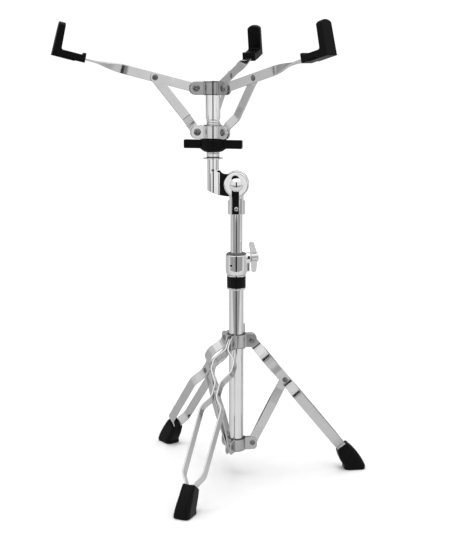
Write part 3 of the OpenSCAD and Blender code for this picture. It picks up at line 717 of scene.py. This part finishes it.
def clamp_shape():
    """Ring with a lug and rib for the bolt, recessed at the top for the bushing's rim."""
    low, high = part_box("height_clamp")
    z0, z1 = low.z / MM, joint_point("column_turn").z / MM
    radius, lug_x = -low.x / MM, high.x / MM
    bolt_z = joint_point("clamp_bolt_turn").z / MM
    pin = middle("clamp_pin") / MM
    pin_turn = turn_about(AXIS, pin)

    def field(x, y, z):
        r = hypot(x, y)
        foot = (r - radius + 1.5 - (z - z0) * 0.35) * 0.94
        body = eased(0.9, r - radius, slab(z, z0, z1), foot)
        boss = eased(1.0, hypot(y, z - bolt_z) - 6.6, slab(x, 6, lug_x))
        rib = eased(1.6, np.abs(y) - 5.2, slab(x, 6, lug_x - 1.2), slab(z, z0 + 4, bolt_z))
        body = join(join(body, boss, 2.2), rib, 2.2)
        body = cut(body, r - CLAMP_BORE, 0.5)
        body = cut(body, eased(0.4, r - 13.0, slab(z, z1 - 0.1, z1 + 9)), 0.4)
        body = cut(body, eased(0.2, hypot(y, z - bolt_z) - 3.1, slab(x, 5, 40)), 0.4)
        along, side = along_and_side(x, y, pin_turn)
        hole = np.maximum(hypot(side, z - pin.z) - 1.7, 5 - along)
        return cut(body, hole, 0.4)

    return surface_net(field, (-radius, -radius, z0), (lug_x, radius, high.z / MM), cell=0.55)


add_piece("height_clamp_casting", clamp_shape(), Matrix.Identity(4), "height_clamp")


def bolt_frame(joint, across):
    direction = Vector(joints[joint]["axis"]).normalized()
    return basis(joint_point(joint), direction, across.normalized())


def wing_shape(hub, x0, x1, span, sweep, thick, shank=None, cone=None):
    """Hub along x with two blades that lean back and taper to round tips, and before it
    a shank (radius, start) or a cone (two radii, start, end)."""
    root = x0 + 3.6

    def field(x, y, z):
        barrel = eased(0.9, hypot(y, z) - hub, slab(x, x0, x1))
        tall = np.abs(z)
        blade = capsule(x, tall, (root, 0), (root - sweep - 0.6, span - 3.5), 4.4, 3.4)
        waist = capsule(x, tall, (root + 0.6, 0), (root - sweep, span * 0.6), 4.8, 3.6)
        swell = thick / 2 - 0.25 + 0.35 * np.clip(tall / span, 0, 1)
        head = join(barrel, eased(1.1, np.minimum(blade, waist), np.abs(y) - swell), 2.0)
        if shank:
            rod = eased(0.4, hypot(y, z) - shank[0], slab(x, shank[1], x0 + 1))
            head = join(head, rod, 0.6)
        if cone:
            wide, narrow, start, end = cone
            wall = hypot(y, z) - wide + (x - start) * (wide - narrow) / (end - start)
            head = join(head, eased(0.8, wall * 0.9, slab(x, start, end)), 1.2)
            head = cut(head, hypot(y, z) - TILTER_BORE, 0.4)
        return head

    low = shank[1] if shank else cone[2]
    wide, tall = hub + 3, span + 1
    return surface_net(field, (low - sweep - 2, -wide, -tall), (x1 + 3, wide, tall), cell=0.5)


# How far from the column's axis the heads of the bolt and the screw start
HEAD_START = 19.2
bolt_x = reach_from(AXIS, "clamp_bolt_turn")
bolt_head = wing_shape(5, HEAD_START - bolt_x, 28.2 - bolt_x, 21.5, 1.2, 3.4,
                       shank=(3.0, 8.6 - bolt_x))
add_piece("clamp_wing_bolt_head", bolt_head,
          bolt_frame("clamp_bolt_turn", Vector((0, 1, 0))) @ Matrix.Rotation(BOLT_REST, 4, "X"),
          "clamp_wing_bolt", SATIN)
screw_x = reach_from(AXIS, "collar_screw_turn")
screw_dir = Vector((math.cos(screw_turn), math.sin(screw_turn), 0))
screw_head = wing_shape(4.6, HEAD_START - screw_x, 26 - screw_x, 18, -2, 3,
                        shank=(3.0, lower_bore - screw_x))
add_piece("collar_wing_screw_head", screw_head,
          bolt_frame("collar_screw_turn", UP.cross(screw_dir)), "collar_wing_screw",
          MATERIALS["chrome_strip"])


# ----- tilter -----

LIP_REACH = 9.1
WEB_Y, WEB_HALF = -0.8, 4.8
POST_SLOPE, POST_FOOT = math.radians(21.5), 373.4
PIN_RADIUS = 1.5
CHEEK_INSIDE = 6.2
TILT_HEIGHT = joint_point("basket_tilt").z
TILT = TILT_HEIGHT / MM


def fork_shape():
    """Barrel and two round cheeks with a groove down the front, and a test for its floor."""
    low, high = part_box("tilter_fork")
    half = high.y / MM
    bottom = low.z / MM - TILT
    disc_radius = high.x / MM
    groove_x, groove_half = -1.2, 4.4

    def outside(x, y, z):
        barrel = eased(0.9, hypot(x, y) - 11.2, slab(z, bottom, -6))
        cheeks = eased(1.9, hypot(x, z) - disc_radius, slab(np.abs(y), CHEEK_INSIDE, half))
        return join(barrel, cheeks, 3.2)

    def field(x, y, z):
        body = cut(outside(x, y, z), eased(0.4, np.abs(y) - CHEEK_INSIDE, -21.7 - z), 0.6)
        body = cut(body, np.maximum(hypot(x, y) - 7.8, z + 21.4), 0.4)
        slot = eased(4.35, np.abs(x - groove_x) - groove_half, slab(z, -60, 11.7))
        body = cut(body, eased(0.4, slot, y + 9.2), 0.55)
        return cut(body, hypot(x, z) - TILTER_BORE, 0.3)

    def recess(x, y, z):
        """Faces down in the groove, which take the black finish instead of the plating."""
        return (outside(x, y, z) < -0.35) & (y < -8) & (np.abs(x - groove_x) < groove_half + 0.4)

    points, faces, normals = surface_net(field, (-disc_radius, -half, bottom),
                                         (disc_radius, half, disc_radius), cell=0.5)
    # Its front faces a little to the left, like the groove cut down it
    normals[:, 0] -= math.sin(math.radians(6)) * np.clip(-normals[:, 1], 0, 1) ** 6
    return (points, faces, normals), recess


fork, fork_recess = fork_shape()
tilter_place = Matrix.Translation((0, 0, TILT_HEIGHT))
add_piece("tilter_fork_casting", fork, tilter_place, "tilter_fork",
          patch=(MATERIALS["black_casting"], fork_recess))
nut_start = (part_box("tilter_fork")[1].y - joint_point("tilter_nut_turn").y) / MM
wing_nut = wing_shape(6, nut_start + 1, nut_start + 9.5, 15, -2, 3.6,
                      cone=(8.5, 6, nut_start + 0.1, nut_start + 5.1))
add_piece("tilter_wing_nut_head", wing_nut,
          basis(joint_point("tilter_nut_turn"), Vector((0, 1, 0)), UP), "tilter_wing_nut")


def post_end(x, z, axis_z):
    """Positive below the post's sloping end, which is at axis_z on the post's axis, x = 0."""
    return -(x * math.sin(POST_SLOPE) + (z - axis_z) * math.cos(POST_SLOPE))


def post_shape():
    """Tube with a sloping lower end and a slit with flared lips for the casting's web."""
    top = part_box("basket_post")[1].z / MM
    pin_z = middle("post_pin").z / MM
    lowest, lip_top, slit_top = 369, 399.8, 401.1

    def field(x, y, z):
        radius = hypot(x, y)
        lips = eased(1.6, slab(x, -2, LIP_REACH), np.abs(y - WEB_Y) - 5.75, z - lip_top)
        body = join(radius - POST_RADIUS, lips, 2.6)
        body = eased(0.4, body, post_end(x, z, POST_FOOT), z - top)
        body = cut(body, radius - TUBE_BORE, 0.4)
        slit = eased(0.3, np.abs(y - WEB_Y) - WEB_HALF - PLAY, -x, z - slit_top)
        body = cut(body, slit, 0.4)
        return cut(body, hypot(x, z - pin_z) - PIN_RADIUS, 0.3)

    return surface_net(field, (-POST_RADIUS, -POST_RADIUS, lowest),
                       (LIP_REACH, POST_RADIUS, top), cell=0.55)


def casting_shape():
    """Disc between the cheeks, a web that spreads towards the post, and a plug inside the post."""
    low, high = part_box("tilter_casting")
    bottom, top = low.z / MM - TILT, high.z / MM - TILT
    post_x = POST.x / MM
    pin_z = middle("post_pin").z / MM - TILT
    outline = [(0, -15), (0, 12)]
    outline += [(-13.6 + 8 * math.cos(math.radians(a)), 20.2 + 8 * math.sin(math.radians(a)))
                for a in range(261, 206, -9)]
    outline += [(post_x + LIP_REACH, 16.6), (post_x + 4.5, 16.6), (post_x + 4.5, -13.6),
                (-12, -15.6)]

    def field(x, y, z):
        disc = eased(0.9, hypot(x, z) - 14.5, slab(y, -6, 4.2))
        web = eased(0.9, outline_wall(x, z, outline), np.abs(y - WEB_Y) - WEB_HALF)
        plug = eased(0.5, hypot(x - post_x, y) - TUBE_BORE + PLAY, z - top)
        body = join(join(disc, web, 1.2), plug, 0.6)
        body = np.maximum(body, post_end(x - post_x, z, POST_FOOT + 0.4 - TILT))
        body = cut(body, hypot(x, z) - TILTER_BORE, 0.4)
        return cut(body, hypot(x - post_x, z - pin_z) - PIN_RADIUS, 0.3)

    return surface_net(field, (post_x - TUBE_BORE, -6.3, bottom), (14.5, 6.3, top), cell=0.55)


add_piece("basket_post_tube", post_shape(), at_post(), "basket_post")
add_piece("tilter_casting_body", casting_shape(), tilter_place, "tilter_casting")


# ----- basket -----

def sleeve_shape():
    """Tube with a rolled screw thread up to the larger tube it carries."""
    low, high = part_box("basket_sleeve")
    z0, z1 = low.z / MM, high.z / MM
    thread_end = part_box("hub_tube")[0].z / MM
    thread_start = z0 + 1.2
    bore, corner, bevel = POST_RADIUS + PLAY, 0.9, 0.3

    def wave(radius, z, angle):
        if radius < SLEEVE_RADIUS - 0.01 or z < thread_start or z > thread_end:
            return radius
        run_in = min((z - thread_start) / THREAD_PITCH, (thread_end - z) / THREAD_PITCH, 1)
        turn = (z / THREAD_PITCH - angle / (2 * math.pi)) % 1
        return radius - THREAD_DEPTH * run_in * (0.5 + 0.5 * math.cos(2 * math.pi * turn)) ** 1.5

    profile = [(bore, z1), (bore, z0 + bevel), (bore + bevel, z0), (SLEEVE_RADIUS - corner, z0)]
    profile += [(SLEEVE_RADIUS - corner * (1 - math.sin(a)), z0 + corner * (1 - math.cos(a)))
                for a in (math.radians(d) for d in (22, 45, 68))]
    profile += [(SLEEVE_RADIUS, z) for z in np.arange(z0 + corner, thread_end + 0.2, 0.2)]
    return turned(profile + [(SLEEVE_RADIUS, z1)], 72, wave)


add_piece("basket_threaded_sleeve", sleeve_shape(), at_post(), "basket_sleeve",
          MATERIALS["chrome_fitting"])


def nut_shape():
    """Moulded wing nut: round body with a tapered foot and two straight flared wings."""
    low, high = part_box("basket_nut")
    tall = (high.z - low.z) / MM
    span = 37.5

    def field(x, y, z):
        r = hypot(x, y)
        foot = ((r - 11.2) * 3.6 - z * 4.6) / 5.84
        body = eased(1.3, r - 15.6, slab(z, 0, tall), foot)
        reach = np.abs(x)
        half = 3.0 + 1.3 * np.clip((reach - 24) / (span - 24), 0, 1) ** 2
        wing = eased(1.5, np.abs(y) - half, slab(reach, 0, span), slab(z, 4.1, tall - 0.8))
        body = join(body, wing, 3.0)
        return cut(body, r - SLEEVE_RADIUS - PLAY, 0.6)

    return surface_net(field, (-span, -16, 0), (span, 16, tall), cell=0.65)


nut_place = at_post(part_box("basket_nut")[0].z) @ Matrix.Rotation(NUT_TURN, 4, "Z")
add_piece("basket_wing_nut_moulding", nut_shape(), nut_place, "basket_nut")

grip_points = node_points("front_grip", limb_frame("front", "arm")) / MM
grip_low, grip_high = grip_points.min(0), grip_points.max(0)
arm_half, brace_half = ARM["width"] / 2, BRACE["width"] / 2
arm_shape = bar(ARM, ((-arm_half, 0), (30, 0), (grip_high[0] - 4.7, 0)), bend=9, step=1.2,
                round_end=False, twist=ARM_TWIST)
brace_length = rivet_place("front", "brace")
BRACE_PATH = ((-brace_half, 0), (11, 0), (24, BRACE_BOW), (brace_length - 9, BRACE_SIDE),
              (brace_length + brace_half, BRACE_SIDE))
brace_shape = bar(BRACE, BRACE_PATH, BRACE_BEND)


def grip_shape():
    """L-shaped rubber grip: small lip inside, arched top, shallow groove along its base plate."""
    (inner, _, base), (outer, _, top) = grip_low, grip_high
    face, seat = outer - 9.7, 4.4
    lip = seat + 2.6
    side = [(inner, base), (outer, base), (outer - 0.2, top), (outer - 8.4, top), (face, seat + 2),
            (face - 0.6, seat + 0.6), (face - 2, seat), (inner + 4.5, seat), (inner + 3.4, lip),
            (inner + 0.4, lip)]
    half, rise, play = GRIP_WIDTH / 2, 4, 0.15
    arch = (half * half + rise * rise) / (2 * rise)

    def field(x, y, z):
        walls = outline_wall(x, z, side)
        crown = hypot(y, z - (top - arch)) - arch
        crown = np.where(z < top - 6, -10, crown)
        body = eased(1.1, walls, np.abs(y) - half, crown)
        groove = eased(0.3, slab(z, base + 1.4, base + 2.4), slab(x, inner + 10, inner + 24),
                       half - 1.2 - np.abs(y))
        body = cut(body, groove, 0.4)
        step = eased(0.3, slab(z, base - 3, base + 0.9), x - inner - 12)
        body = cut(body, step, 0.5)
        slot = eased(0.3, np.abs(y) - arm_half - play, np.abs(z) - ARM["thick"] / 2 - play,
                     slab(x, inner - 3, inner + 3))
        return cut(body, slot, 0.3)

    return surface_net(field, (inner, -half, base), (outer, half, top), cell=0.6)


ARM_PIECES = (("basket_arm", arm_shape, "arm", "arm"),
              ("basket_brace", brace_shape, "brace", "brace"),
              ("rubber_grip", grip_shape(), "arm", "grip"))
for side in ARMS:
    for piece, shape, limb, node in ARM_PIECES:
        add_piece(f"{side}_{piece}", shape, limb_frame(side, limb), f"{side}_{node}")

# ----- rivets -----

MIDDLE_HOLE = 0.02
SHANK, STUB_SHANK = 2.45, 2.25


def head(radius, height, place, punch):
    """Half outline of a domed head with a punched dimple, from its rim to its middle."""
    ball = (radius * radius + height * height) / (2 * height)
    count, points = 12, [(radius, place)]
    for k in range(1, count + 1):
        r = radius * (1 - k / count)
        rise = math.sqrt(ball * ball - r * r) - ball + height
        sink = 0.7 * punch * (0.5 + 0.5 * math.cos(math.pi * min(r / punch, 1)))
        points.append((max(r, MIDDLE_HOLE), place + rise - sink))
    return points


def rivet_shape(shank, radius, height, start, end, punch, both=True):
    """Rivet along +z from start to end, domed at the far end and, if both, at the near end too."""
    far = head(radius, height, end, punch)
    if both:
        near = [(r, start + end - z) for r, z in far[::-1]]
        profile = near + [(shank, start), (shank, end)] + far
    else:
        profile = [(MIDDLE_HOLE, start), (shank, start), (shank, end)] + far
    return turned(profile, 40)


def placed(shape, matrices):
    """Copies of a shape at several places, as one shape."""
    points, faces, _ = shape
    all_points, all_faces = [], []
    for matrix in matrices:
        turn = np.array(matrix.to_3x3())
        shift = len(all_points) * len(points)
        all_points.append(points @ turn.T + np.array(matrix.translation) / MM)
        all_faces += [tuple(i + shift for i in face) for face in faces]
    return np.concatenate(all_points), all_faces, None


def across_limb(side, limb, distance=0.0, way=1):
    """z across a limb, with the origin at a distance (mm) along it."""
    matrix = limb_frame(side, limb)
    x_axis, z_axis = matrix.col[0].to_3d(), matrix.col[2].to_3d()
    origin = matrix.translation + x_axis * distance * MM
    return basis(origin, z_axis, x_axis) if way > 0 else basis(origin, x_axis, z_axis)


def rivets(name, node, shape, matrices):
    add_piece(name, placed(shape, matrices), Matrix.Identity(4), node, RIVET)


# Node without its last word, limb, sides, head radius, head height, half length, dimple
RIVET_SETS = (("stay_bracket", "stay", LEGS, 3.6, 1.2, 3.65, 1.2),
              ("leg_collar", "leg", LEGS, 3.8, 1.2, 4.15, 1.3),
              ("hub", "arm", ARMS, 4.6, 1.7, 3.65, 1.5),
              ("slider", "brace", ARMS, 4.6, 1.5, 3.1, 1.5))
for name, limb, sides, radius, height, half_length, punch in RIVET_SETS:
    rivets(f"{name}_rivet_set", f"{name}_rivets",
           rivet_shape(SHANK, radius, height, -half_length, half_length, punch),
           [across_limb(side, limb) for side in sides])
stub = rivet_shape(STUB_SHANK, 3.6, 1.2, 2, 4.05, 1.2, both=False)
for side in LEGS:
    knee = rivet_place(side, "leg")
    rivets(f"{side}_knee_rivet_pair", f"{side}_knee_rivets", stub,
           [across_limb(side, "leg", knee, way) for way in (1, -1)])
arm_side, brace_side = ARM["thick"] / 2, BRACE_SIDE + BRACE["thick"] / 2
arm_head = rivet_shape(STUB_SHANK, 3.8, 1.3, -arm_side, arm_side, 1.5, both=False)
brace_head = rivet_shape(STUB_SHANK, 3.8, 1.3, BRACE_SIDE - 1, brace_side, 1.5, both=False)
for side in ARMS:
    rivets(f"{side}_arm_rivet_head", f"{side}_arm_rivet", arm_head,
           [across_limb(side, "arm", rivet_place(side, "arm"), -1)])
    rivets(f"{side}_brace_rivet_head", f"{side}_brace", brace_head,
           [across_limb(side, "brace", brace_length)])

# ----- CAD nodes that stay: their materials -----

for name, node in frame["nodes"].items():
    if node.hide_render:
        continue
    node.data.materials.clear()
    node.data.materials.append(MATERIALS[NODE_SLOT[name]])
    for polygon in node.data.polygons:
        polygon.material_index = 0

# ----- studio -----

AMBIENT, SEEN_WHITE = 0.84, 1.05
ROOF = 1.3
PAPER_EDGE, STAND, WALL, BELOW = -0.62, -1.3, -2.3, -0.001
DEGREES = 180 / math.pi


def studio_world():
    """White surroundings; mirror rays see walls a little darker on the left and behind."""
    world = bpy.data.worlds.new("studio")
    bpy.context.scene.world = world
    n = Nodes(world=world)

    def smooth(value, low, high, to_low, to_high):
        return n.spread(value, to_low, to_high, low, high, "SMOOTHSTEP")

    def background(strength):
        return n.add("Background", {"Color": (1, 1, 1, 1), "Strength": strength}).outputs[0]

    x, y, z = n.split()
    # Degrees round the column: 0 towards the camera, + to the right, 180 behind the stand
    turn = n.math("MULTIPLY", n.math("ARCTAN2", x, n.math("MULTIPLY", y, -1.0)), DEGREES)
    wall = smooth(turn, -95.0, 20.0, 0.75, 0.90)
    wall = n.math("MULTIPLY", wall, smooth(n.math("ABSOLUTE", turn), 85.0, 125.0, 1.0, 0.52))
    for centre, width, depth in ((-108.0, 7.0, 0.34), (70.0, 6.0, 0.28)):
        away = n.math("ABSOLUTE", n.math("SUBTRACT", turn, centre))
        wall = n.math("MULTIPLY", wall, smooth(away, width * 0.4, width, 1 - depth, 1.0))
    lift = n.math("MULTIPLY", n.math("ARCSINE", z), DEGREES)
    roof = smooth(lift, 28.0, 55.0, 0.0, 1.0)
    level = n.math("ADD", n.math("MULTIPLY", wall, n.math("SUBTRACT", 1.0, roof)),
                   n.math("MULTIPLY", roof, ROOF))
    paths = n.add("LightPath").outputs
    shown = background(AMBIENT)
    for ray, strength in (("Is Glossy Ray", level), ("Is Camera Ray", SEEN_WHITE)):
        inputs = {0: paths[ray], 1: shown, 2: background(strength)}
        shown = n.add("MixShader", inputs).outputs[0]
    n.put(n.tree.nodes["World Output"].inputs["Surface"], shown)
    world.cycles.sampling_method = "NONE"


def flat_card(name, start, end, half, material, end_half=None):
    """A card between two level edges, each given by its y and z and by half its width."""
    (y0, z0), (y1, z1), far = start, end, end_half or half
    corners = [(-half, y0, z0), (half, y0, z0), (far, y1, z1), (-far, y1, z1)]
    mesh = bpy.data.meshes.new(name)
    mesh.from_pydata(corners, [], [(0, 1, 2, 3)])
    mesh.materials.append(material)
    card = linked(name, mesh)
    return card


def glow(name, low, high, behind=1.0):
    """Soft uneven light given off by a card; behind is the share of it left behind the stand."""
    n = Nodes(name)
    level = n.spread(n.noise(2.0, 2), low, high, 0.2, 0.8)
    level = n.math("MULTIPLY", level, n.spread(n.split()["Y"], 1.0, behind, -0.15, 0.10))
    emission = n.add("Emission", {"Color": (1, 1, 1, 1), "Strength": level})
    n.put(n.tree.nodes["Material Output"].inputs["Surface"], emission.outputs[0])
    return n.owner


def studio_cards():
    """White paper, and what only mirrors see: dark floor, white wall and camera stand."""
    size, stand_half = 8.0, 0.19
    n = Nodes("floor_paper")
    colour = n.mix(n.spread(n.noise(40, 4)), grey(0.90, (0.995, 0.995, 1)), grey(0.92))
    far_light = n.spread(n.length(n.coords), 0.0, 0.34, 0.35, 1.1)
    paper = n.finish(Base_Color=colour, Roughness=0.9, Specular_IOR_Level=0.0,
                     Emission_Color=(1, 1, 1, 1), Emission_Strength=far_light)
    floor = flat_card("floor", (-size, 0), (size, 0), size, paper)
    floor.location.z = -0.0002
    floor.visible_glossy = False
    paper_edge, wall_foot = (PAPER_EDGE, BELOW), (WALL, BELOW)
    dark = glow("mirrored_stand", 0.015, 0.03)
    cards = (flat_card("paper_card", paper_edge, (size, BELOW), size,
                       glow("mirrored_paper", 0.72, 0.80, behind=0.74)),
             flat_card("floor_card", wall_foot, paper_edge, size,
                       glow("mirrored_floor", 0.30, 0.40)),
             flat_card("wall_card", wall_foot, (WALL, 2.4), 6, glow("mirrored_wall", 0.86, 0.95)),
             flat_card("stand_card", (STAND, 0), (STAND, 1.3), stand_half, dark),
             flat_card("stand_foot_card", (STAND, 0), (PAPER_EDGE, 0), stand_half, dark, 0.08))
    for card in cards:
        card.visible_camera = card.visible_diffuse = card.visible_shadow = False
        card.visible_transmission = False


def soft_light(name, place, target, size, power):
    lamp = bpy.data.lights.new(name, "AREA")
    lamp.shape = "DISK"
    lamp.size = size
    lamp.energy = power
    light = linked(name, lamp)
    light.location = place
    light.rotation_euler = (Vector(target) - Vector(place)).to_track_quat("-Z", "Y").to_euler()
    light.visible_glossy = False


def photo_camera():
    """The photo's camera: a long lens that looks down a little and to the left."""
    data = bpy.data.cameras.new("camera")
    data.lens = 77.5
    looks_down, turned_left = 0.1871, 0.0261
    camera = linked("camera", data)
    camera.location = (0.0237, -1.4665, 0.5510)
    camera.rotation_euler = (math.pi / 2 - looks_down, 0, turned_left)
    bpy.context.scene.camera = camera


studio_world()
studio_cards()
soft_light("key", (-0.1, 0.1, 2.7), (0, 0, 0), 1.3, 26)
soft_light("fill", (0.6, -0.9, 2.4), (0, 0, 0.2), 1.8, 6)
photo_camera()
scene = bpy.context.scene
scene.view_settings.view_transform = "Standard"
scene.view_settings.look = "None"
